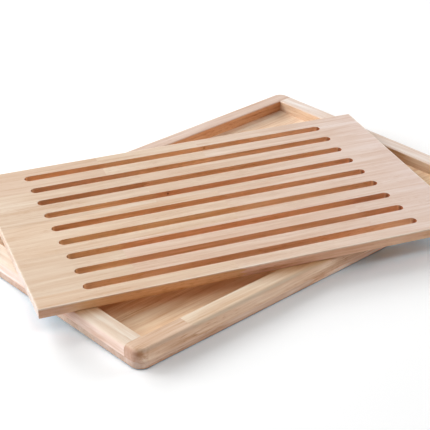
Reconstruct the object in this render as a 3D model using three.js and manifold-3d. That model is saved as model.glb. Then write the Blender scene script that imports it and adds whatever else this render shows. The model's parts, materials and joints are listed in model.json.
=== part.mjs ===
// Bread board: a low wooden tray that catches crumbs, and a slotted cutting grid.
// The grid drops into the tray's recess in use. Here it lies across the rim, turned.
// Millimetres, +Z up. X runs along the grid's slots, and the origin is the middle of
// the tray's underside.

import * as THREE from 'three';
import { mergeVertices } from 'three/addons/utils/BufferGeometryUtils.js';
import Module from 'manifold-3d';

const wasm = await Module();
wasm.setup();

// Tray: a glued floor panel with four rails glued on top of it
const trayLength = 475;
const trayWidth = 318;
const trayCorner = 12;
const floorThickness = 8;
const railWidth = 20;
const railHeight = 12;
const topRound = 5;
const bottomRound = 3;
const innerEase = 0.8;

// Grid: a glued panel that fits the recess with some play, with a row of through slots
const endPlay = 1.5;
const sidePlay = 2;
const gridThickness = 9.5;
const gridEase = 0.4;
const slotCount = 9;
const slotWidth = 10.4;
const slotEndMargin = 47;
const slotSideMargin = 17;

// How the grid lies on the rim
const trayTurn = THREE.MathUtils.degToRad(21.16);
const gridShiftX = -13.3;
const gridShiftY = -12.6;
const layGap = 0.3;

// Glued joints: thin lines between staves, and flat fingers where two lengths meet
const glueLine = 0.1;
const fingerLength = 8;
const fingerPitch = 4;

// Seams between stave rows, front to back: on the floor as shares of the tray's width
// from its front edge, on the grid as shares of the slot pitch from its middle
const floorSeam_shares = [0.2, 0.4, 0.6, 0.8];
const gridSeam_shares = [-4.05, -1.65, 0.53, 2.95];

// End joints of each row, and of the long rails, as shares of the length from the left
const floorJoint_shares = [[0.44], [0.71], [0.27, 0.83], [0.58], [0.36]];
const gridJoint_shares = [[0.45], [0.24, 0.8], [0.53], [0.38], [0.31, 0.57]];
const frontRailJoint_shares = [0.14];
const backRailJoint_shares = [0.42];

// Fineness of the curves, and how far a cutting block reaches past what it cuts
const cornerSteps = 6;
const edgeSteps = 4;
const easeSteps = 2;
const overrun = 5;

const trayHeight = floorThickness + railHeight;
const recessLength = trayLength - 2 * railWidth;
const recessWidth = trayWidth - 2 * railWidth;
const gridLength = recessLength - 2 * endPlay;
const gridWidth = recessWidth - 2 * sidePlay;
const slotLength = gridLength - 2 * slotEndMargin;
const slotPitch = (gridWidth - 2 * slotSideMargin - slotWidth) / (slotCount - 1);

// Wood tones, from the pale rail tops to the darker lengths
const pale = 0xecd8bd;
const straw = 0xe6cba8;
const honey = 0xdcb98f;
const rose = 0xe0bf9f;
const tan = 0xcfa57b;

function toSolid(geometry) {
  const bare = geometry.clone();
  bare.deleteAttribute('normal');
  bare.deleteAttribute('uv');
  const merged = mergeVertices(bare);
  return new wasm.Manifold(new wasm.Mesh({
    numProp: 3,
    vertProperties: new Float32Array(merged.attributes.position.array),
    triVerts: new Uint32Array(merged.index.array),
  }));
}

function toGeometry(solid) {
  const mesh = solid.getMesh();
  const geometry = new THREE.BufferGeometry();
  geometry.setAttribute('position', new THREE.BufferAttribute(mesh.vertProperties, mesh.numProp));
  geometry.setIndex(new THREE.BufferAttribute(mesh.triVerts, 1));
  geometry.computeVertexNormals();
  return geometry;
}

function woodPiece(name, solid, color) {
  const material = new THREE.MeshStandardMaterial({ color, roughness: 0.55, metalness: 0 });
  const mesh = new THREE.Mesh(toGeometry(solid), material);
  mesh.name = name;
  return mesh;
}

// Upright block between two corners
function block(left, right, front, back, low, high) {
  const geometry = new THREE.BoxGeometry(right - left, back - front, high - low);
  geometry.translate((left + right) / 2, (front + back) / 2, (low + high) / 2);
  return toSolid(geometry);
}

function rectangle(length, width) {
  const outline = new THREE.Shape();
  outline.moveTo(-length / 2, -width / 2);
  outline.lineTo(length / 2, -width / 2);
  outline.lineTo(length / 2, width / 2);
  outline.lineTo(-length / 2, width / 2);
  outline.closePath();
  return outline;
}

function roundedRectangle(length, width, radius) {
  const x = length / 2 - radius;
  const y = width / 2 - radius;
  const outline = new THREE.Shape();
  outline.absarc(x, -y, radius, -Math.PI / 2, 0);
  outline.absarc(x, y, radius, 0, Math.PI / 2);
  outline.absarc(-x, y, radius, Math.PI / 2, Math.PI);
  outline.absarc(-x, -y, radius, Math.PI, 1.5 * Math.PI);
  outline.closePath();
  return outline;
}

function slotOutline(y) {
  const radius = slotWidth / 2;
  const x = slotLength / 2 - radius;
  const outline = new THREE.Path();
  outline.absarc(x, y, radius, -Math.PI / 2, Math.PI / 2);
  outline.absarc(-x, y, radius, Math.PI / 2, 1.5 * Math.PI);
  outline.closePath();
  return outline;
}

// Plate on z = 0 whose top and bottom edges, also round its holes, are softened
function softPlate(outline, height, soft, softSteps) {
  const geometry = new THREE.ExtrudeGeometry(outline, {
    depth: height - 2 * soft,
    bevelThickness: soft,
    bevelSize: soft,
    bevelOffset: -soft,
    bevelSegments: softSteps,
    curveSegments: cornerSteps,
  });
  geometry.translate(0, 0, soft);
  return toSolid(geometry);
}

// Points up one end of a length: straight, or a zigzag of flat fingers
function endPoints(end, low, high) {
  if (!end.fingered) {
    return [[end.x, low - overrun], [end.x, high + overrun]];
  }
  const fingers = Math.max(1, Math.round((high - low) / fingerPitch));
  const points = [[end.x - fingerLength / 2, low - overrun]];
  for (let i = 0; i <= 2 * fingers; i++) {
    const side = i % 2 ? 1 : -1;
    points.push([end.x + side * fingerLength / 2, low + (high - low) * i / (2 * fingers)]);
  }
  points.push([end.x - fingerLength / 2, high + overrun]);
  return points;
}

// Block that cuts one length of a stave out of its panel
function lengthBlock(start, end, front, back, low, high) {
  const points = [...endPoints(start, low, high).reverse(), ...endPoints(end, low, high)];
  const profile = new THREE.Shape(points.map(([x, z]) => new THREE.Vector2(x, z)));
  const geometry = new THREE.ExtrudeGeometry(profile, { depth: back - front, bevelEnabled: false });
  geometry.rotateX(Math.PI / 2);
  geometry.translate(0, back, 0);
  return toSolid(geometry);
}

// Cuts one row of a panel at its end joints and returns the lengths from left to right
function cutRow(panel, size, front, back, joint_shares) {
  const left = -size.length / 2;
  const joints = joint_shares.map((share) => left + share * size.length);
  const pieces = [];
  for (let i = 0; i <= joints.length; i++) {
    const start = i === 0
      ? { x: left - overrun, fingered: false }
      : { x: joints[i - 1] + glueLine / 2, fingered: true };
    const end = i === joints.length
      ? { x: size.length / 2 + overrun, fingered: false }
      : { x: joints[i] - glueLine / 2, fingered: true };
    pieces.push(panel.intersect(lengthBlock(start, end, front, back, size.low, size.high)));
  }
  return pieces;
}

const lengthNames = { 1: [''], 2: ['_left', '_right'], 3: ['_left', '_middle', '_right'] };

function frontEdge(solid) {
  return solid.boundingBox().min[1];
}

// Names a row's lengths from left to right. A length that the slots cut free at both
// ends has become several strips, numbered from the front.
function nameRow(name, pieces, tones) {
  const ends = lengthNames[pieces.length];
  return pieces.flatMap((piece, i) => {
    const strips = piece.decompose().sort((a, b) => frontEdge(a) - frontEdge(b));
    if (strips.length === 1) return [woodPiece(name + ends[i], piece, tones[i])];
    return strips.map((strip, k) => woodPiece(`${name}${ends[i]}_strip_${k + 1}`, strip, tones[i]));
  });
}

// Splits a whole panel into its rows of staves, glued edge to edge at the seams
function cutPanel(panel, size, seams, joint_shares, name, tones) {
  const pieces = [];
  for (let i = 0; i <= seams.length; i++) {
    const front = i === 0 ? -size.width / 2 - overrun : seams[i - 1] + glueLine / 2;
    const back = i === seams.length ? size.width / 2 + overrun : seams[i] - glueLine / 2;
    const row = cutRow(panel, size, front, back, joint_shares[i]);
    pieces.push(...nameRow(`${name}_${i + 1}`, row, tones[i]));
  }
  return pieces;
}

function trayPlate(height, soft) {
  const outline = roundedRectangle(trayLength, trayWidth, trayCorner);
  return softPlate(outline, height, soft, edgeSteps);
}

// Floor panel: flat on top, with its bottom edge rounded
function makeTrayFloor() {
  const size = { length: trayLength, width: trayWidth, low: 0, high: floorThickness };
  const plate = trayPlate(floorThickness + 2 * bottomRound, bottomRound);
  const slab = block(-trayLength, trayLength, -trayWidth, trayWidth, -overrun, floorThickness);
  const tones = [[tan, honey], [honey, straw], [straw, honey, tan], [rose, honey], [honey, rose]];
  const seams = floorSeam_shares.map((share) => (share - 0.5) * trayWidth);
  return cutPanel(plate.intersect(slab), size, seams, floorJoint_shares, 'floor_stave', tones);
}

// What is taken out of the rim: the recess, which opens by a small slant at the top
function recessCut() {
  const well = block(
    -recessLength / 2, recessLength / 2,
    -recessWidth / 2, recessWidth / 2,
    floorThickness - overrun, trayHeight + overrun,
  );
  const mouth = rectangle(recessLength + 2 * innerEase, recessWidth + 2 * innerEase);
  const slant = softPlate(mouth, 4 * innerEase, innerEase, 1);
  return well.add(slant.translate([0, 0, trayHeight - innerEase]));
}

// Rim: the long rails run the full length, and the short ones stand between them
function makeRim() {
  const size = { length: trayLength, low: floorThickness, high: trayHeight };
  const plate = trayPlate(railHeight + 2 * topRound, topRound)
    .translate([0, 0, floorThickness - 2 * topRound]);
  const slab = block(-trayLength, trayLength, -trayWidth, trayWidth, floorThickness, trayHeight + overrun);
  const ring = plate.intersect(slab).subtract(recessCut());
  const outer = trayWidth / 2 + overrun;
  const inner = recessWidth / 2;
  const front = cutRow(ring, size, -outer, -inner, frontRailJoint_shares);
  const back = cutRow(ring, size, inner, outer, backRailJoint_shares);
  const between = inner - glueLine;
  const left = ring.intersect(block(
    -trayLength, 0, -between, between, floorThickness - overrun, trayHeight + overrun));
  const right = ring.intersect(block(
    0, trayLength, -between, between, floorThickness - overrun, trayHeight + overrun));
  return [
    ...nameRow('front_rail', front, [rose, pale]),
    ...nameRow('back_rail', back, [pale, straw]),
    woodPiece('left_rail', left, pale),
    woodPiece('right_rail', right, straw),
  ];
}

// Cutting grid: one glued panel, slotted right through from end margin to end margin
function makeGrid() {
  const outline = rectangle(gridLength, gridWidth);
  for (let i = 0; i < slotCount; i++) {
    outline.holes.push(slotOutline((i - (slotCount - 1) / 2) * slotPitch));
  }
  const size = { length: gridLength, width: gridWidth, low: 0, high: gridThickness };
  const panel = softPlate(outline, gridThickness, gridEase, easeSteps);
  const tones = [[straw, rose], [straw, rose, straw], [pale, rose], [straw, rose], [honey, straw, pale]];
  const seams = gridSeam_shares.map((share) => share * slotPitch);
  return cutPanel(panel, size, seams, gridJoint_shares, 'grid_stave', tones);
}

const tray = new THREE.Group();
tray.add(...makeTrayFloor(), ...makeRim());
tray.rotation.z = trayTurn;

const grid = new THREE.Group();
grid.add(...makeGrid());
grid.position.set(gridShiftX, gridShiftY, trayHeight + layGap);

const breadBoard = new THREE.Group();
breadBoard.add(tray, grid);

export default breadBoard;
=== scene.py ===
# %% [markdown]
# # A slotted bread board
#
# The object is a low wooden tray and a slotted cutting grid that lies turned across its rim.
# Both are glued up from staves of pale rubberwood. This lesson dresses the imported model:
# it welds and smooths every stave, grows a wood for each one out of shader nodes, and
# lights the board softly from behind on the left.
#
# The imported model comes first, because every piece here sits where a CAD node sits.

import json
import math
import random

import bmesh
import bpy
from mathutils import Euler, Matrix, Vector

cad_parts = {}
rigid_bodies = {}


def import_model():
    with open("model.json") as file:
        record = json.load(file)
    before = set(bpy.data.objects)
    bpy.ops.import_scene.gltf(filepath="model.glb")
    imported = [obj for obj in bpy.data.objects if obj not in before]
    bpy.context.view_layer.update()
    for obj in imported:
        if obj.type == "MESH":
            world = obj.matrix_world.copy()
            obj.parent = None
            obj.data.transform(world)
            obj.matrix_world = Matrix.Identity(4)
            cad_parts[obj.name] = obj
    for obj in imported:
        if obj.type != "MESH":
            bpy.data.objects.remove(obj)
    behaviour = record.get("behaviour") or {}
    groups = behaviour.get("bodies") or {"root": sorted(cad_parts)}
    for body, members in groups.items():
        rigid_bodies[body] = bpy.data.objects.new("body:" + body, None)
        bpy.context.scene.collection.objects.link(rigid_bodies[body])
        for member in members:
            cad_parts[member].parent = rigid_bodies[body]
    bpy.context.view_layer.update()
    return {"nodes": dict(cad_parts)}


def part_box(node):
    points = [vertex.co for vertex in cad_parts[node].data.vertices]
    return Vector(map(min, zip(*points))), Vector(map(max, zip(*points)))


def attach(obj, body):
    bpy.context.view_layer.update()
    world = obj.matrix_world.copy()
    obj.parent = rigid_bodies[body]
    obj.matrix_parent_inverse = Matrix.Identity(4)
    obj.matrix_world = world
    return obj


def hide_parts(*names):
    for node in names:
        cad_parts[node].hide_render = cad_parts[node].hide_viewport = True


for leftover in list(bpy.data.objects):
    bpy.data.objects.remove(leftover)

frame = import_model()

# %% [markdown]
# ## The camera
#
# The view is a long lens from the front left, about 29 degrees above the table. It was
# fitted to the photograph's straight edges and slots, and it is written as what a
# photographer would set: where the lens points, the angles, the distance, the focal length.
# A camera could also be aimed with a Track To constraint, but a plain rotation keeps the
# small roll of the picture, and nothing is left to evaluate.

# %% Place the camera
AIM = Vector((-0.0056, 0.0063, 0.0))
AZIMUTH = math.radians(-19.95)
ELEVATION = math.radians(28.706)
ROLL = math.radians(-0.983)
DISTANCE = 1.37005
FOCAL_LENGTH = 110.41
SENSOR_WIDTH = 36.0


def direction(azimuth, elevation):
    """Unit vector from the board towards a point round it: azimuth 0 is in front, 90 to the right."""
    flat = math.cos(elevation)
    return Vector((math.sin(azimuth) * flat, -math.cos(azimuth) * flat, math.sin(elevation)))


towards_camera = direction(AZIMUTH, ELEVATION)
lens = bpy.data.cameras.new("camera")
lens.lens = FOCAL_LENGTH
lens.sensor_width = SENSOR_WIDTH
lens.clip_start = 0.01
lens.clip_end = 50.0
camera = bpy.data.objects.new("camera", lens)
bpy.context.scene.collection.objects.link(camera)
level = (-towards_camera).to_track_quat("-Z", "Y")
camera.location = AIM + towards_camera * DISTANCE
camera.rotation_mode = "QUATERNION"
camera.rotation_quaternion = level @ Euler((0.0, 0.0, ROLL)).to_quaternion()
bpy.context.scene.camera = camera
print("camera at", tuple(round(x, 3) for x in camera.location))

# %% [markdown]
# ## Small helpers for shader nodes
#
# Node trees are easier to read as sums than as wires. `wire` adds one node, sets its
# options and plugs in either plain values or other nodes' outputs. `calc` is a Math node
# as a function call. Both work in materials and in node groups alike.
#
# A node group is made once and placed in every material that needs it. Its sockets are
# made with `interface.new_socket`, and what is the same all over a surface stays out of
# it and is set on the shader itself.

# %% Node helpers
def wire(tree, kind, inputs=None, **options):
    """Adds a node of a kind, with options set and inputs given as values or sockets."""
    node = tree.nodes.new(kind)
    for name, value in options.items():
        setattr(node, name, value)
    for key, value in (inputs or {}).items():
        if isinstance(value, bpy.types.NodeSocket):
            tree.links.new(value, node.inputs[key])
        else:
            node.inputs[key].default_value = value
    return node


def calc(tree, operation, *values, clamp=False):
    """One Math node; values are numbers or sockets."""
    numbered = dict(enumerate(values))
    return wire(tree, "ShaderNodeMath", numbered, operation=operation, use_clamp=clamp).outputs[0]


def ramp(tree, value, start, full, kind="SMOOTHSTEP"):
    """Goes from 0 to 1 as a value goes from start to full."""
    inputs = {"Value": value, "From Min": start, "From Max": full}
    return wire(tree, "ShaderNodeMapRange", inputs, interpolation_type=kind).outputs[0]


def blend_colours(tree, mode, factor, first, second):
    """One Mix node for colours; its colour sockets are numbers 6 and 7, and its result is 2."""
    inputs = {0: factor, 6: first, 7: second}
    return wire(tree, "ShaderNodeMix", inputs, data_type="RGBA", blend_type=mode).outputs[2]


def start_group(name, inputs, outputs):
    """New node group; inputs and outputs map socket names to (type, default)."""
    tree = bpy.data.node_groups.new(name, "ShaderNodeTree")
    for label, (kind, default) in inputs.items():
        socket = tree.interface.new_socket(label, in_out="INPUT", socket_type=kind)
        if default is not None:
            socket.default_value = default
    for label, kind in outputs.items():
        tree.interface.new_socket(label, in_out="OUTPUT", socket_type=kind)
    return tree, tree.nodes.new("NodeGroupInput").outputs, tree.nodes.new("NodeGroupOutput").inputs


def colour(red, green, blue):
    """A colour as it is read off a screen, 0 to 255, turned into Blender's linear values."""
    def linear(value):
        share = value / 255
        return share / 12.92 if share <= 0.04045 else ((share + 0.055) / 1.055) ** 2.4
    return (linear(red), linear(green), linear(blue), 1.0)


print("cream in linear values:", tuple(round(x, 3) for x in colour(236, 216, 189)))

# %% [markdown]
# ## Rubberwood as a solid
#
# Sawn wood shows one pattern on its face, another on its edge and rings on its end,
# because all three are cuts through the same trunk. A picture wrapped round a stave can't
# do that. Here the wood is worked out in space instead, and each surface cuts through it.
# The position comes in turned so that X runs along the grain, in metres.
#
# The first group is the slow part of the pattern, the growth rings. They are circles
# round the pith, which lies somewhere beside or below the stave, and the pith wanders, so
# the lines on the face drift and open into long loops.

# %% Group: growth rings
WANDER_SCALE = (2.2, 12.0, 12.0)
WANDER_REACH = 0.04
SLOW_DARKENING = 2.0
SUDDEN_END = 12.0


def make_growth_rings():
    """Late Wood rises slowly over the width of a ring and drops at its end."""
    tree, given, made = start_group("growth_rings", {
        "Position": ("NodeSocketVector", None),
        "Pith Side": ("NodeSocketFloat", 0.03),
        "Pith Depth": ("NodeSocketFloat", 0.06),
        "Ring Width": ("NodeSocketFloat", 0.006),
    }, {"Late Wood": "NodeSocketFloat"})
    slow = wire(tree, "ShaderNodeVectorMath", {0: given["Position"], 1: WANDER_SCALE},
                operation="MULTIPLY").outputs[0]
    wander = wire(tree, "ShaderNodeTexNoise", {"Vector": slow, "Scale": 1.0, "Detail": 2.0}).outputs["Fac"]
    drift = calc(tree, "MULTIPLY_ADD", wander, WANDER_REACH, -WANDER_REACH / 2)
    place = wire(tree, "ShaderNodeSeparateXYZ", {0: given["Position"]}).outputs
    side = calc(tree, "ADD", calc(tree, "ADD", place["Y"], given["Pith Side"]), drift)
    depth = calc(tree, "ADD", place["Z"], given["Pith Depth"])
    squares = calc(tree, "ADD", calc(tree, "MULTIPLY", side, side), calc(tree, "MULTIPLY", depth, depth))
    radius = calc(tree, "SQRT", squares)
    ring = calc(tree, "FRACT", calc(tree, "DIVIDE", radius, given["Ring Width"]))
    rise = calc(tree, "POWER", ring, SLOW_DARKENING)
    fall = calc(tree, "SUBTRACT", 1.0, calc(tree, "POWER", ring, SUDDEN_END))
    tree.links.new(calc(tree, "MULTIPLY", rise, fall), made["Late Wood"])
    return tree


growth_rings = make_growth_rings()
print("group:", growth_rings.name)

# %% [markdown]
# The second group is the fast part. Noise that is drawn out along the grain gives bundles
# of fibres at two widths, and a finer one, cut off high, gives the vessels. In rubberwood
# these are short dark dashes on the face and dots on the end, which the same noise gives
# by itself. They crowd in some places, so a slow noise thins them elsewhere. Here and there
# a thin gum line runs with the grain, and soft clouds come from wood that took up more oil.
# All of it follows a slow wave, because no tree grows dead straight.

# %% Group: fibres and vessels
WAVE_SCALE = (11.0, 16.0, 16.0)
WAVE_HEIGHT = 0.009
GRAIN = {
    # pattern: (cycles a metre along the grain, cycles a metre across it, detail)
    "Fibres": (18.0, 520.0, 3.0),
    "Streaks": (6.0, 115.0, 3.0),
    "Clouds": (24.0, 80.0, 2.0),
    "Gum Lines": (7.0, 310.0, 1.0),
    "Vessels": (120.0, 1500.0, 1.0),
    "Crowds": (9.0, 60.0, 1.0),
}
GUM_LINE_CUT = (0.63, 0.74)
VESSEL_CUT = (0.56, 0.7)
CROWD_CUT = (0.35, 0.65)


def make_fibres():
    """Noises drawn out along the grain; each goes from 0 to 1."""
    tree, given, made = start_group("fibres_and_vessels", {
        "Position": ("NodeSocketVector", None),
    }, {"Fibres": "NodeSocketFloat", "Streaks": "NodeSocketFloat", "Clouds": "NodeSocketFloat",
        "Gum Lines": "NodeSocketFloat", "Vessels": "NodeSocketFloat"})
    slow = wire(tree, "ShaderNodeVectorMath", {0: given["Position"], 1: WAVE_SCALE},
                operation="MULTIPLY").outputs[0]
    wave = wire(tree, "ShaderNodeTexNoise", {"Vector": slow, "Scale": 1.0, "Detail": 1.0}).outputs["Fac"]
    aside = wire(tree, "ShaderNodeCombineXYZ", {"Y": calc(tree, "MULTIPLY", wave, WAVE_HEIGHT)}).outputs[0]
    bent = wire(tree, "ShaderNodeVectorMath", {0: given["Position"], 1: aside}, operation="ADD").outputs[0]

    def drawn_out(along, across, detail):
        scaled = wire(tree, "ShaderNodeVectorMath", {0: bent, 1: (along, across, across)},
                      operation="MULTIPLY").outputs[0]
        noise = wire(tree, "ShaderNodeTexNoise", {"Vector": scaled, "Scale": 1.0, "Detail": detail})
        return noise.outputs["Fac"]

    for label in ("Fibres", "Streaks", "Clouds"):
        tree.links.new(drawn_out(*GRAIN[label]), made[label])
    tree.links.new(ramp(tree, drawn_out(*GRAIN["Gum Lines"]), *GUM_LINE_CUT), made["Gum Lines"])
    dashes = ramp(tree, drawn_out(*GRAIN["Vessels"]), *VESSEL_CUT, "LINEAR")
    crowd = ramp(tree, drawn_out(*GRAIN["Crowds"]), *CROWD_CUT, "LINEAR")
    tree.links.new(calc(tree, "MULTIPLY", dashes, crowd), made["Vessels"])
    return tree


fibres_and_vessels = make_fibres()
print("group:", fibres_and_vessels.name)

# %% [markdown]
# The third group looks at which way a surface faces. Ends are cut across the grain. Near
# and far sides are cut along it, and so is the underside, which counts as a side here and
# takes the sides' deep tones. It is painted a little darker than they are, as painted shade
# on faces that turn down.
# On the rounds, where hands and cloths rub, the wood is polished and its edges are worn
# smooth: there the surface faces neither up nor sideways.

# %% Group: cuts and rounds
CUTS = {
    # kind of surface: (axis that it faces, facing where it starts, facing where it is full)
    "End": ("X", 0.4, 0.9),
    "Side": ("Z", 0.85, 0.3),
    "Far": ("Y", -0.2, 0.2),
    "Under": ("Z", 0.0, -0.7),
}
ROUND_GAIN = 4.0


def make_cuts():
    """How far a surface is an end, a side, a far side, the underside or a round, from 0 to 1."""
    tree, given, made = start_group("cuts_and_rounds", {
        "Facing": ("NodeSocketVector", None),
    }, {"End": "NodeSocketFloat", "Side": "NodeSocketFloat", "Far": "NodeSocketFloat",
        "Under": "NodeSocketFloat", "Round": "NodeSocketFloat"})
    facing = wire(tree, "ShaderNodeSeparateXYZ", {0: given["Facing"]}).outputs
    either_end = calc(tree, "ABSOLUTE", facing["X"])
    for label, (axis, start, full) in CUTS.items():
        measure = either_end if label == "End" else facing[axis]
        tree.links.new(ramp(tree, measure, start, full), made[label])
    slope = calc(tree, "MULTIPLY", facing["Z"], calc(tree, "SUBTRACT", 1.0, facing["Z"]))
    tree.links.new(calc(tree, "MULTIPLY", slope, ROUND_GAIN, clamp=True), made["Round"])
    return tree


cuts_and_rounds = make_cuts()
print("group:", cuts_and_rounds.name)

# %% [markdown]
# The last group puts them together. The face and the sides start from tones of their own,
# the pattern darkens or lightens them by shares, and blue falls faster than red where it
# darkens, since oiled wood turns warmer as it turns darker. The pattern is strongest on
# the sawn sides and calmest on the ends and the worn rounds. The same patterns set how
# rough the surface is and where it sinks.

# %% Group: oiled rubberwood
DARKENING = {
    # pattern: (its middle value, how much it darkens)
    "Streaks": (0.5, 0.55),
    "Fibres": (0.5, 0.42),
    "Clouds": (0.5, 0.27),
    "Gum Lines": (0.03, 0.09),
}
LATE_WOOD_DARKENING = (0.27, 0.06)
VESSEL_DARKENING = (0.1, 0.2)
LIVELIER_ON_SIDES = 0.6
CALMER_ON_ENDS = 0.9
CALMER_ON_ROUNDS = 0.6
# Painted shade on surfaces that face down.
PAINTED_SHADE_UNDERNEATH = 0.25
RED_KEPT = 0.55
BLUE_LOST = 1.4
ROUGHNESS = 0.6
FIBRE_ROUGHNESS = 0.3
END_ROUGHNESS = 0.15
POLISH_ON_ROUNDS = 0.08
FIBRE_DEPTH = 0.5


def make_rubberwood():
    """A stave's colour, roughness and height, from its four tones and the patterns."""
    tree, given, made = start_group("oiled_rubberwood", {
        "Position": ("NodeSocketVector", None),
        "Facing": ("NodeSocketVector", None),
        "Face Tone": ("NodeSocketColor", (0.8, 0.6, 0.4, 1.0)),
        "Near Tone": ("NodeSocketColor", (0.8, 0.6, 0.4, 1.0)),
        "Far Tone": ("NodeSocketColor", (0.8, 0.6, 0.4, 1.0)),
        "End Tone": ("NodeSocketColor", (0.6, 0.4, 0.3, 1.0)),
        "Pith Side": ("NodeSocketFloat", 0.03),
        "Pith Depth": ("NodeSocketFloat", 0.06),
        "Figure": ("NodeSocketFloat", 1.0),
    }, {"Color": "NodeSocketColor", "Roughness": "NodeSocketFloat", "Height": "NodeSocketFloat"})
    late = wire(tree, "ShaderNodeGroup", {
        "Position": given["Position"], "Pith Side": given["Pith Side"],
        "Pith Depth": given["Pith Depth"]}, node_tree=growth_rings).outputs["Late Wood"]
    grain = wire(tree, "ShaderNodeGroup", {"Position": given["Position"]},
                 node_tree=fibres_and_vessels).outputs
    cut = wire(tree, "ShaderNodeGroup", {"Facing": given["Facing"]}, node_tree=cuts_and_rounds).outputs

    def centred(value, middle, strength):
        return calc(tree, "MULTIPLY", calc(tree, "SUBTRACT", value, middle), strength)

    dark = centred(late, *LATE_WOOD_DARKENING)
    for label, (middle, strength) in DARKENING.items():
        dark = calc(tree, "ADD", dark, centred(grain[label], middle, strength))
    dark = calc(tree, "MULTIPLY", dark, given["Figure"])
    dark = calc(tree, "ADD", dark, centred(grain["Vessels"], *VESSEL_DARKENING))
    liveliness = calc(tree, "MULTIPLY_ADD", cut["End"], -CALMER_ON_ENDS, 1.0)
    liveliness = calc(tree, "MULTIPLY_ADD", cut["Side"], LIVELIER_ON_SIDES, liveliness)
    liveliness = calc(tree, "MULTIPLY_ADD", cut["Round"], -CALMER_ON_ROUNDS, liveliness)
    dark = calc(tree, "MULTIPLY", dark, liveliness)
    # Painted shade: faces that turn down are darker.
    dark = calc(tree, "MULTIPLY_ADD", cut["Under"], PAINTED_SHADE_UNDERNEATH, dark)
    shade = calc(tree, "SUBTRACT", 1.0, dark)
    stain = wire(tree, "ShaderNodeCombineColor", {
        "Red": calc(tree, "POWER", shade, RED_KEPT), "Green": shade,
        "Blue": calc(tree, "POWER", shade, BLUE_LOST)})
    sides = blend_colours(tree, "MIX", cut["Far"], given["Near Tone"], given["Far Tone"])
    tone = blend_colours(tree, "MIX", cut["Side"], given["Face Tone"], sides)
    tone = blend_colours(tree, "MIX", cut["End"], tone, given["End Tone"])
    tree.links.new(blend_colours(tree, "MULTIPLY", 1.0, tone, stain.outputs[0]), made["Color"])
    rough = calc(tree, "ADD", centred(grain["Fibres"], 0.5, FIBRE_ROUGHNESS), ROUGHNESS)
    rough = calc(tree, "MULTIPLY_ADD", cut["End"], END_ROUGHNESS, rough)
    rough = calc(tree, "MULTIPLY_ADD", cut["Round"], -POLISH_ON_ROUNDS, rough, clamp=True)
    tree.links.new(rough, made["Roughness"])
    sunk = calc(tree, "MULTIPLY_ADD", grain["Fibres"], FIBRE_DEPTH, grain["Vessels"])
    tree.links.new(calc(tree, "SUBTRACT", 1.0, sunk), made["Height"])
    return tree


oiled_rubberwood = make_rubberwood()
print("group:", oiled_rubberwood.name, "from", len(oiled_rubberwood.nodes), "nodes")

# %% [markdown]
# ## Tones
#
# Rubberwood runs from cream to pinkish straw, and no two staves match. Each wood below has
# a tone for its planed face, one for the side nearest the front, one for the side away
# from it, and one for its ends. The sides in the slots and inside the tray are deep, as
# painted shade for the light that they lose between walls, and the tray's outer sides are
# pale, which on the front sides is painted light for the little lamp light they get. Some
# staves were cut where pale wood turns into dark, so their two sides differ. The tones were
# set and then corrected, wood by wood, by how far a render was from the photograph.

# %% Tones of the woods
# The side tones hold painted shade in the slots and inside the tray; the pale front sides are painted
# light.
WOODS = {
    # wood: (face, front side, back side, ends)
    "straw": (colour(215, 186, 159), colour(233, 176, 123), colour(233, 176, 123), colour(206, 191, 182)),
    "cream": (colour(214, 188, 163), colour(237, 192, 147), colour(237, 187, 136), colour(206, 191, 182)),
    "oat": (colour(215, 191, 167), colour(239, 190, 143), colour(235, 191, 146), colour(228, 213, 199)),
    "rose": (colour(214, 184, 161), colour(226, 177, 136), colour(238, 181, 135), colour(224, 204, 186)),
    "fawn": (colour(212, 186, 162), colour(224, 174, 130), colour(221, 177, 134), colour(224, 204, 186)),
    "biscuit": (colour(218, 191, 168), colour(244, 191, 160), colour(238, 188, 146), colour(224, 204, 186)),
    "ochre": (colour(216, 189, 163), colour(236, 192, 142), colour(233, 178, 129), colour(204, 184, 169)),
    "wheat": (colour(214, 186, 162), colour(242, 202, 160), colour(239, 188, 144), colour(224, 204, 186)),
    "umber": (colour(212, 187, 163), colour(242, 195, 147), colour(202, 140, 95), colour(213, 195, 179)),
    "almond": (colour(211, 184, 159), colour(230, 171, 126), colour(236, 190, 141), colour(224, 204, 186)),
    "russet": (colour(208, 180, 156), colour(234, 178, 131), colour(229, 175, 126), colour(213, 195, 179)),
    "petal": (colour(215, 189, 167), colour(239, 192, 148), colour(210, 142, 103), colour(224, 204, 186)),
    "sand": (colour(215, 182, 155), colour(233, 193, 162), colour(209, 154, 111), colour(195, 157, 136)),
    "pale": (colour(222, 196, 169), colour(237, 197, 165), colour(209, 154, 111), colour(222, 184, 155)),
    "blush": (colour(209, 182, 165), colour(214, 157, 113), colour(214, 174, 142), colour(222, 184, 155)),
    "milk": (colour(225, 205, 185), colour(209, 154, 111), colour(232, 206, 192), colour(213, 190, 168)),
    "shell": (colour(228, 211, 199), colour(238, 206, 176), colour(219, 191, 164), colour(222, 200, 182)),
    "honey": (colour(240, 206, 170), colour(227, 188, 161), colour(229, 168, 126), colour(203, 176, 160)),
    "linen": (colour(238, 210, 183), colour(227, 189, 162), colour(229, 168, 126), colour(203, 176, 160)),
    "amber": (colour(249, 216, 178), colour(249, 211, 183), colour(229, 168, 126), colour(215, 192, 175)),
}
print("woods:", ", ".join(WOODS))

# %% [markdown]
# A row is glued up from two or three staves with finger joints, so each stave gets its own
# wood. How strongly the grain shows is set for each part: the grid is planed fine and
# looks quiet, while the rails and most of all the tray's floor show it plainly.

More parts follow.
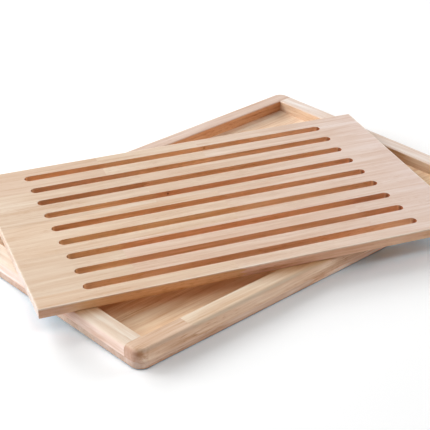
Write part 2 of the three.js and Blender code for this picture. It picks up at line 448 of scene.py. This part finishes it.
# %% Which stave is which wood
STAVE_WOODS = {
    "front_rail_left": "sand",
    "front_rail_right": "pale",
    "back_rail_left": "blush",
    "back_rail_right": "blush",
    "left_rail": "milk",
    "right_rail": "shell",
    "floor_stave_1_left": "honey",
    "floor_stave_1_right": "amber",
    "floor_stave_2_left": "amber",
    "floor_stave_2_right": "honey",
    "floor_stave_3_left": "honey",
    "floor_stave_3_middle": "amber",
    "floor_stave_3_right": "honey",
    "floor_stave_4_left": "honey",
    "floor_stave_4_right": "amber",
    "floor_stave_5_left": "honey",
    "floor_stave_5_right": "linen",
    "grid_stave_1_left": "straw",
    "grid_stave_1_right": "biscuit",
    "grid_stave_2_left": "cream",
    "grid_stave_2_middle": "rose",
    "grid_stave_2_right": "petal",
    "grid_stave_3_left": "ochre",
    "grid_stave_3_right": "wheat",
    "grid_stave_4_left": "umber",
    "grid_stave_4_right": "almond",
    "grid_stave_5_left": "russet",
    "grid_stave_5_middle": "oat",
    "grid_stave_5_right": "fawn",
}
FIGURES = {"grid": 1.0, "front": 1.5, "back": 1.3, "left": 1.1, "right": 1.1, "floor": 1.8}


def stave_of(node_name):
    """Strips between two slots were one stave before the slots were cut, so they share its wood."""
    return node_name.split("_strip_")[0]


missing = [name for name in frame["nodes"] if stave_of(name) not in STAVE_WOODS]
print("staves named:", len(STAVE_WOODS), "nodes without a wood:", missing)

# %% [markdown]
# ## Where a stave sits
#
# Some things depend on the place and not on the stave. In the grid the colour turns pinker
# towards the right end, right across its rows, slowly at first: this is painted light, as
# if a pinker light fell there. Its sides turn greyer and bluer near the left end, the outer
# side at the back takes the faces' tone without the sides' painted shade, and its outer
# ends are pale. The ends that the slots cut are dark, as darker end grain deepened by
# painted shade inside the slots. Its sharp top edge is painted paler, as wear to bare wood
# and as a painted highlight where the edge catches the light. The rails are rounded, so
# their wear comes from the groups above. The distances here are in metres from the grid's
# ends or edges.

# %% Tones by place
# Painted light: the grid's faces and sides turn pinker towards its right end, as under a pinker light.
PINK_LIGHT_FACE = colour(219, 196, 184)
PINK_LIGHT_SIDE = colour(235, 185, 145)
# The top edge's paler tone: bare, worn wood and a painted highlight where the edge catches light.
BARE_WOOD_AND_HIGHLIGHT = colour(240, 224, 208)
GREYER_BLUER = (0.84, 0.9, 1.28, 1.0)
# Slot ends: darker end grain, deepened by painted shade inside the slots.
SLOT_END_GRAIN_AND_SHADE = colour(146, 88, 54)
SLOT_END_MARGIN = 0.0465
SLOT_END_BLEND = 0.002
GREYER_FROM, GREYER_TO = 0.05, 0.015
# The outer side at the back takes the faces' tone instead of the sides' painted shade.
OUTER_BACK_WIDTH = 0.006
PINK_LIGHT_DELAY = 3.0
ARRIS_WIDTH, ARRIS_CORE = 0.0018, 0.0004
ARRIS_STRENGTH = 0.6
grid_boxes = [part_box(name) for name in frame["nodes"] if name.startswith("grid")]
GRID_LEFT = min(low[0] for low, high in grid_boxes)
GRID_RIGHT = max(high[0] for low, high in grid_boxes)
GRID_FRONT = min(low[1] for low, high in grid_boxes)
GRID_BACK = max(high[1] for low, high in grid_boxes)
GRID_TOP = max(high[2] for low, high in grid_boxes)
print("grid from", round(GRID_LEFT, 4), "to", round(GRID_RIGHT, 4), "m along X")


def inset(tree, value, low, high):
    """How far a value lies inside a range, counted from the nearer end; negative outside."""
    from_middle = calc(tree, "ABSOLUTE", calc(tree, "SUBTRACT", value, (low + high) / 2))
    return calc(tree, "SUBTRACT", (high - low) / 2, from_middle)


def worn_and_highlit_arris(tree, place):
    """Strong on the sharp top edge round the grid, painted paler as wear and as a painted highlight, and 0
    two millimetres from it.
    """
    outline = calc(tree, "MINIMUM", inset(tree, place["X"], GRID_LEFT, GRID_RIGHT),
                   inset(tree, place["Y"], GRID_FRONT, GRID_BACK))
    away = calc(tree, "ADD", outline, calc(tree, "SUBTRACT", GRID_TOP, place["Z"]))
    return calc(tree, "MULTIPLY", ramp(tree, away, ARRIS_WIDTH, ARRIS_CORE), ARRIS_STRENGTH)


def grid_tones(tree, stave_name, place, tones):
    """Changes a grid stave's tones along and across the grid, with painted light, painted shade and a
    painted highlight.
    """
    face, front, back, ends = tones.values()
    rows = [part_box(name) for name in frame["nodes"] if stave_of(name) == stave_name]
    across = ramp(tree, place["Y"], min(low[1] for low, high in rows), max(high[1] for low, high in rows))
    pink_light = calc(tree, "POWER", ramp(tree, place["X"], GRID_LEFT, GRID_RIGHT, "LINEAR"), PINK_LIGHT_DELAY)
    greyer = ramp(tree, place["X"], GRID_LEFT + GREYER_FROM, GRID_LEFT + GREYER_TO)
    outer_back = ramp(tree, place["Y"], GRID_BACK - OUTER_BACK_WIDTH, GRID_BACK)
    side = blend_colours(tree, "MIX", across, front, back)
    side = blend_colours(tree, "MIX", pink_light, side, PINK_LIGHT_SIDE)
    side = blend_colours(tree, "MULTIPLY", greyer, side, GREYER_BLUER)
    side = blend_colours(tree, "MIX", outer_back, side, face)
    from_middle = calc(tree, "ABSOLUTE", calc(tree, "SUBTRACT", place["X"], (GRID_LEFT + GRID_RIGHT) / 2))
    reach = (GRID_RIGHT - GRID_LEFT) / 2 - SLOT_END_MARGIN
    outer = ramp(tree, from_middle, reach, reach + SLOT_END_BLEND)
    top = blend_colours(tree, "MIX", pink_light, face, PINK_LIGHT_FACE)
    end = blend_colours(tree, "MIX", outer, SLOT_END_GRAIN_AND_SHADE, ends)
    worn_and_lit = worn_and_highlit_arris(tree, place)
    top, side, end = (blend_colours(tree, "MIX", worn_and_lit, tone, BARE_WOOD_AND_HIGHLIGHT) for tone in (top, side, end))
    return {"Face Tone": top, "Near Tone": side, "Far Tone": side, "End Tone": end}


# %% [markdown]
# The grid's shadow is painted into the tray's wood, which is made deeper and warmer where
# the shadow falls. The painted shadow is the grid's outline, moved a little towards the
# front and right, away from the window, and softened at its edge, and it deepens the tops
# and inner sides of the rails and the floor.
# It is deepest on the front and left rails. A painted mask would do as well, but this one
# follows the model when a size changes.

# %% The grid's painted shadow on the tray
# Painted shadow: how much the grid's shadow deepens the tray's wood.
GRID_SHADOW_TONE = (0.85, 0.68, 0.48, 1.0)
GRID_SHADOW_TONE_DEEP = (0.83, 0.56, 0.32, 1.0)
UNCHANGED = (1.0, 1.0, 1.0, 1.0)
SHADE_SHIFT = 0.012
SHADED = {
    # part of the tray: (where the shade starts, where it is full, its tone, which tones it deepens)
    "front": (-0.008, 0.018, GRID_SHADOW_TONE_DEEP, ("Face Tone", "Far Tone")),
    "left": (-0.008, 0.018, GRID_SHADOW_TONE_DEEP, ("Face Tone", "Near Tone")),
    "right": (-0.02, 0.0, GRID_SHADOW_TONE, ("Far Tone",)),
    "back": (-0.008, 0.018, GRID_SHADOW_TONE, ("Near Tone",)),
    "floor": (-0.003, 0.028, GRID_SHADOW_TONE, ("Face Tone",)),
}


def tray_tones(tree, stave_name, place, tones):
    """Deepens a tray stave's tones where the grid's shadow falls, as painted shadow."""
    across = inset(tree, place["X"], GRID_LEFT + SHADE_SHIFT, GRID_RIGHT + SHADE_SHIFT)
    along = inset(tree, place["Y"], GRID_FRONT - SHADE_SHIFT, GRID_BACK - SHADE_SHIFT)
    start, full, tone_there, deepened = SHADED[stave_name.split("_")[0]]
    shade = ramp(tree, calc(tree, "MINIMUM", across, along), start, full)
    painted_shadow_tint = blend_colours(tree, "MIX", shade, UNCHANGED, tone_there)
    return {label: blend_colours(tree, "MULTIPLY", 1.0, tone, painted_shadow_tint) if label in deepened else tone
            for label, tone in tones.items()}


def stave_tones(tree, stave_name, position):
    """The tones of a stave, with what its place changes."""
    tones = dict(zip(("Face Tone", "Near Tone", "Far Tone", "End Tone"), WOODS[STAVE_WOODS[stave_name]]))
    place = wire(tree, "ShaderNodeSeparateXYZ", {0: position}).outputs
    change = grid_tones if stave_name.startswith("grid") else tray_tones
    return change(tree, stave_name, place, tones)


print("sheltered parts of the tray:", ", ".join(SHADED))

# %% [markdown]
# ## Marks
#
# A stave may show a mark of its own: the brown heart in the end of the front rail, a dark
# pin knot in the side of one slot, and a brown spot where two staves meet in the side of
# the backmost slot, so both have it. Each is a ball of stained wood, given by its middle
# and its reach, and the surface shows where it cuts through the ball. Rings lie round it,
# as they do round a heart. A small texture could be put there too, but it would have to be
# laid out on the surface first.

# %% Group: mark
EDGE_SCALE = 160.0
EDGE_ROUGHNESS = 1.1
CORE_EDGE, CORE_FULL = 1.25, 0.6
RING_RATE = 13.0
HALO_EDGE, HALO_FULL = 3.0, 0.9
HALO_STRENGTH = 0.22


def make_mark():
    """Full in the middle of the mark, with a rough edge and faint rings round it."""
    tree, given, made = start_group("heart_or_knot", {
        "Place": ("NodeSocketVector", None),
        "Middle": ("NodeSocketVector", None),
        "Reach": ("NodeSocketFloat", 0.01),
    }, {"Stain": "NodeSocketFloat"})
    away = wire(tree, "ShaderNodeVectorMath", {0: given["Place"], 1: given["Middle"]},
                operation="DISTANCE").outputs["Value"]
    rough_edge = wire(tree, "ShaderNodeTexNoise", {
        "Vector": given["Place"], "Scale": EDGE_SCALE}).outputs["Fac"]
    share = calc(tree, "DIVIDE", away, given["Reach"])
    share = calc(tree, "MULTIPLY_ADD", rough_edge, EDGE_ROUGHNESS, share)
    core = ramp(tree, share, CORE_EDGE, CORE_FULL)
    swing = calc(tree, "SINE", calc(tree, "MULTIPLY", share, RING_RATE))
    rings = calc(tree, "MULTIPLY_ADD", swing, 0.5, 0.5)
    halo = calc(tree, "MULTIPLY", rings, ramp(tree, share, HALO_EDGE, HALO_FULL))
    halo = calc(tree, "MULTIPLY", halo, HALO_STRENGTH)
    tree.links.new(calc(tree, "MAXIMUM", core, halo), made["Stain"])
    return tree


heart_or_knot = make_mark()
JOINT_SPOT = ((0.0197, 0.1074, 0.0275), 0.0032, (0.74, 0.56, 0.45, 1.0))
MARKS = {
    # stave: (middle, reach, tone)
    "front_rail_left": ((-0.1613, -0.2296, 0.0165), 0.0085, (0.66, 0.52, 0.4, 1.0)),
    "grid_stave_4_right": ((-0.0512, 0.0213, 0.0268), 0.0022, (0.25, 0.2, 0.2, 1.0)),
    "grid_stave_5_middle": JOINT_SPOT,
    "grid_stave_5_right": JOINT_SPOT,
}
print("marks on:", ", ".join(MARKS))

# %% [markdown]
# ## A material for each stave
#
# A material is made once per stave: its wood's tones, a shift that cuts it from another
# part of the endless wood, and a place for the pith. The turn lays the grain along the
# stave. The grid's staves run along X, the tray's are turned with the tray, and its two
# short rails run across. The choices come from a seeded generator, so they never change.

# %% Material: one stave's wood
TRAY_TURN = math.radians(21.16)
CROSSWISE = math.radians(90)
SHIFT_RANGE = (0, 9)
PITH_SIDE_RANGE = (-0.08, 0.08)
PITH_DEPTH_RANGE = (0.02, 0.09)
FIGURE_RANGE = (0.8, 1.2)
RELIEF = {"Strength": 0.3, "Distance": 0.0002}
GLOSS = {"IOR": 1.45, "Specular IOR Level": 0.3}
chooser = random.Random(21)


def stave_material(stave_name):
    """One stave's own cut of the wood, with its tones and marks."""
    turn = 0.0 if stave_name.startswith("grid") else TRAY_TURN
    turn += CROSSWISE if stave_name in ("left_rail", "right_rail") else 0.0
    shift = tuple(chooser.uniform(*SHIFT_RANGE) for _axis in "xyz")
    pith_side = chooser.uniform(*PITH_SIDE_RANGE) - shift[1]
    pith_depth = chooser.uniform(*PITH_DEPTH_RANGE) - shift[2]
    figure = FIGURES[stave_name.split("_")[0]] * chooser.uniform(*FIGURE_RANGE)
    material = bpy.data.materials.new(stave_name + "_rubberwood")
    material.use_nodes = True
    tree = material.node_tree
    tree.nodes.clear()
    place = wire(tree, "ShaderNodeTexCoord").outputs
    along = wire(tree, "ShaderNodeMapping", {
        "Vector": place["Object"], "Rotation": (0.0, 0.0, -turn), "Location": shift},
        vector_type="POINT").outputs[0]
    facing = wire(tree, "ShaderNodeMapping", {
        "Vector": place["Normal"], "Rotation": (0.0, 0.0, -turn)}, vector_type="NORMAL").outputs[0]
    wood = wire(tree, "ShaderNodeGroup", {
        "Position": along, "Facing": facing, **stave_tones(tree, stave_name, place["Object"]),
        "Pith Side": pith_side, "Pith Depth": pith_depth, "Figure": figure},
        node_tree=oiled_rubberwood).outputs
    tint = wood["Color"]
    if stave_name in MARKS:
        middle, reach, stained = MARKS[stave_name]
        mark = wire(tree, "ShaderNodeGroup", {"Place": place["Object"], "Middle": middle, "Reach": reach},
                    node_tree=heart_or_knot).outputs["Stain"]
        tint = blend_colours(tree, "MULTIPLY", mark, tint, stained)
    relief = wire(tree, "ShaderNodeBump", {"Height": wood["Height"], **RELIEF}).outputs[0]
    shader = wire(tree, "ShaderNodeBsdfPrincipled", {
        "Base Color": tint, "Roughness": wood["Roughness"], "Normal": relief, **GLOSS})
    wire(tree, "ShaderNodeOutputMaterial", {"Surface": shader.outputs[0]})
    return material


finishes = {name: stave_material(name) for name in STAVE_WOODS}
print("materials:", len(finishes))

# %% [markdown]
# ## From CAD node to smooth stave
#
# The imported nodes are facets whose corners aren't joined, so light breaks at every one.
# Each stave is taken from its node, welded, and cleared of the flat triangles' inner edges.
# Faces that meet at a small angle, as round a corner, then shade smoothly, and a Weighted
# Normal modifier keeps the broad flats flat. The shape and place stay the node's own.

# %% Build one stave from its node
WELD = 1e-5
FLAT_ANGLE = math.radians(0.3)
SMOOTH_ANGLE = math.radians(32)
BROAD_FACE_WEIGHT = 100


def make_stave(node_name, body):
    """A welded, smoothly shaded copy of a node, which stands for it and moves with its body."""
    mesh = bpy.data.meshes.new(node_name + "_wood")
    shape = bmesh.new()
    shape.from_mesh(frame["nodes"][node_name].data)
    bmesh.ops.remove_doubles(shape, verts=shape.verts, dist=WELD)
    bmesh.ops.dissolve_limit(shape, angle_limit=FLAT_ANGLE, verts=shape.verts, edges=shape.edges)
    bmesh.ops.recalc_face_normals(shape, faces=shape.faces)
    for face in shape.faces:
        face.smooth = True
    for edge in shape.edges:
        edge.smooth = edge.calc_face_angle(math.pi) < SMOOTH_ANGLE
    shape.to_mesh(mesh)
    shape.free()
    stave = bpy.data.objects.new(node_name + "_wood", mesh)
    bpy.context.scene.collection.objects.link(stave)
    normals = stave.modifiers.new("broad_faces", "WEIGHTED_NORMAL")
    normals.keep_sharp = True
    normals.weight = BROAD_FACE_WEIGHT
    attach(stave, body)
    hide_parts(node_name)
    return stave


for node_name in sorted(frame["nodes"]):
    stave = make_stave(node_name, "grid" if node_name.startswith("grid") else "tray")
    stave.data.materials.append(finishes[stave_of(node_name)])
print("staves built:", len(frame["nodes"]))

# %% [markdown]
# ## A white table
#
# The table is a large matt plane in white paint, which throws a good deal of light up on to
# the board's sides. In the picture it is pure white, so rays from the camera see the paint
# a little lighter, and glossy rays with them. Warm wood throws a warm glow on a white
# table, and the paint is painted cooler to cancel it: Ambient Occlusion measures how much of
# the sky above a point the wood hides, and there the paint is cooler. Where the wood shuts a
# point in most, the paint is also darker, a painted shadow that deepens the contact shadow.
#
# The lamps don't reach far, so away from the board the table fades into plain white, and
# meets the white behind it without an edge. The shadows all lie within that distance.

# %% Floor and backdrop
PLAIN_PAINT = (0.92, 0.92, 0.92, 1.0)
SEEN_PAINT = (1.03, 1.03, 1.03, 1.0)
HALF_SHUT_COOLED_PAINT = (1.03, 1.09, 1.13, 1.0)
# Painted contact shadow and cooling: near the wood the paint is darker and cooler.
SHUT_IN_PAINTED_SHADE = (0.45, 0.78, 1.02, 1.0)
PURE_WHITE = (1.0, 1.0, 1.0, 1.0)
SKY_REACH = 0.3
# shares of the sky that a point of the table sees
HALF_SHUT = 0.6
NEARLY_OPEN, OPEN = 0.65, 0.88
FADE_FROM, FADE_TO = 0.45, 0.9
TABLE_REACH = 6.0


def seen_rays(tree):
    """1 for the rays that show a surface by sight or in a gloss, 0 for those that only carry its light."""
    path = wire(tree, "ShaderNodeLightPath").outputs
    gloss = calc(tree, "MAXIMUM", path["Is Glossy Ray"], path["Is Transmission Ray"])
    return calc(tree, "MAXIMUM", path["Is Camera Ray"], gloss)


floor_mesh = bpy.data.meshes.new("studio_floor")
corners = [(x * TABLE_REACH, y * TABLE_REACH, 0) for x, y in ((-1, -1), (1, -1), (1, 1), (-1, 1))]
floor_mesh.from_pydata(corners, [], [(0, 1, 2, 3)])
floor = bpy.data.objects.new("studio_floor", floor_mesh)
bpy.context.scene.collection.objects.link(floor)
floor_finish = bpy.data.materials.new("studio_floor_finish")
floor_finish.use_nodes = True
tree = floor_finish.node_tree
tree.nodes.clear()
# Painted shadow and cooling, by how much of the sky the wood hides.
open_sky = wire(tree, "ShaderNodeAmbientOcclusion", {"Distance": SKY_REACH}, samples=8).outputs["AO"]
opening = ramp(tree, open_sky, 0.0, HALF_SHUT, "LINEAR")
painted_shade_near_wood = blend_colours(tree, "MIX", opening, SHUT_IN_PAINTED_SHADE, HALF_SHUT_COOLED_PAINT)
opened = ramp(tree, open_sky, NEARLY_OPEN, OPEN, "LINEAR")
cooled_and_shaded_paint = blend_colours(tree, "MIX", opened, painted_shade_near_wood, SEEN_PAINT)
paint = blend_colours(tree, "MIX", seen_rays(tree), PLAIN_PAINT, cooled_and_shaded_paint)
matt = wire(tree, "ShaderNodeBsdfDiffuse", {"Color": paint})
place = wire(tree, "ShaderNodeTexCoord").outputs["Object"]
distance = wire(tree, "ShaderNodeVectorMath", {0: place}, operation="LENGTH").outputs["Value"]
far_off = calc(tree, "MULTIPLY", ramp(tree, distance, FADE_FROM, FADE_TO), seen_rays(tree))
white = wire(tree, "ShaderNodeEmission", {"Color": PURE_WHITE, "Strength": 1.0})
surface = wire(tree, "ShaderNodeMixShader", {0: far_off, 1: matt.outputs[0], 2: white.outputs[0]})
wire(tree, "ShaderNodeOutputMaterial", {"Surface": surface.outputs[0]})
floor_mesh.materials.append(floor_finish)
print("floor:", floor.name, "with", len(tree.nodes), "nodes")

# %% [markdown]
# ## Soft light
#
# The shadow lies in front and to the right, short and soft, and the slots' far walls stay
# dark, so most of the light comes low from behind on the left, as from a tall window. Four
# wide lamps side by side make that window, and a faint one above the back widens it. A low
# lamp on the right and a high one above the front open the shadows, as white cards do.
# Every lamp is a disk that faces the board, given by where it stands. The air round it all
# is white to look at and gives no light.

# %% White air
world = bpy.data.worlds.new("studio")
world.use_nodes = True
bpy.context.scene.world = world
sky = world.node_tree
sky.nodes.clear()
backdrop = wire(sky, "ShaderNodeBackground", {"Color": PURE_WHITE, "Strength": seen_rays(sky)})
wire(sky, "ShaderNodeOutputWorld", {"Surface": backdrop.outputs[0]})
print("world:", world.name, "with", len(sky.nodes), "nodes")

# %% Lamps
LAMP_DISTANCE = 3.3
LAMPS = {
    # name: (azimuth, elevation, width, watts)
    "window": (-135.0, 35.0, 2.1, 68.0),
    "low_back": (-165.0, 25.0, 1.35, 37.0),
    "low_left": (-120.0, 15.0, 1.35, 33.0),
    "left": (-90.0, 24.0, 1.8, 43.0),
    "high_back": (180.0, 60.0, 1.5, 5.0),
    "right": (90.0, 17.0, 2.4, 72.0),
    "front": (20.0, 60.0, 1.5, 19.0),
}


def add_lamp(name, azimuth, elevation, width, power):
    """A round lamp that faces the board."""
    lamp = bpy.data.lights.new(name, "AREA")
    lamp.shape = "DISK"
    lamp.size = width
    lamp.energy = power
    holder = bpy.data.objects.new(name, lamp)
    bpy.context.scene.collection.objects.link(holder)
    towards = direction(math.radians(azimuth), math.radians(elevation))
    holder.location = towards * LAMP_DISTANCE
    holder.rotation_euler = (-towards).to_track_quat("-Z", "Y").to_euler()
    return holder


for name, settings in LAMPS.items():
    lamp = add_lamp(name, *settings)
    print(name, "lamp at", tuple(round(x, 2) for x in lamp.location))

# %% [markdown]
# ## Colours as written
#
# The Standard view shows every colour as it is, with no film look laid over it.

# %% View
bpy.context.scene.view_settings.view_transform = "Standard"
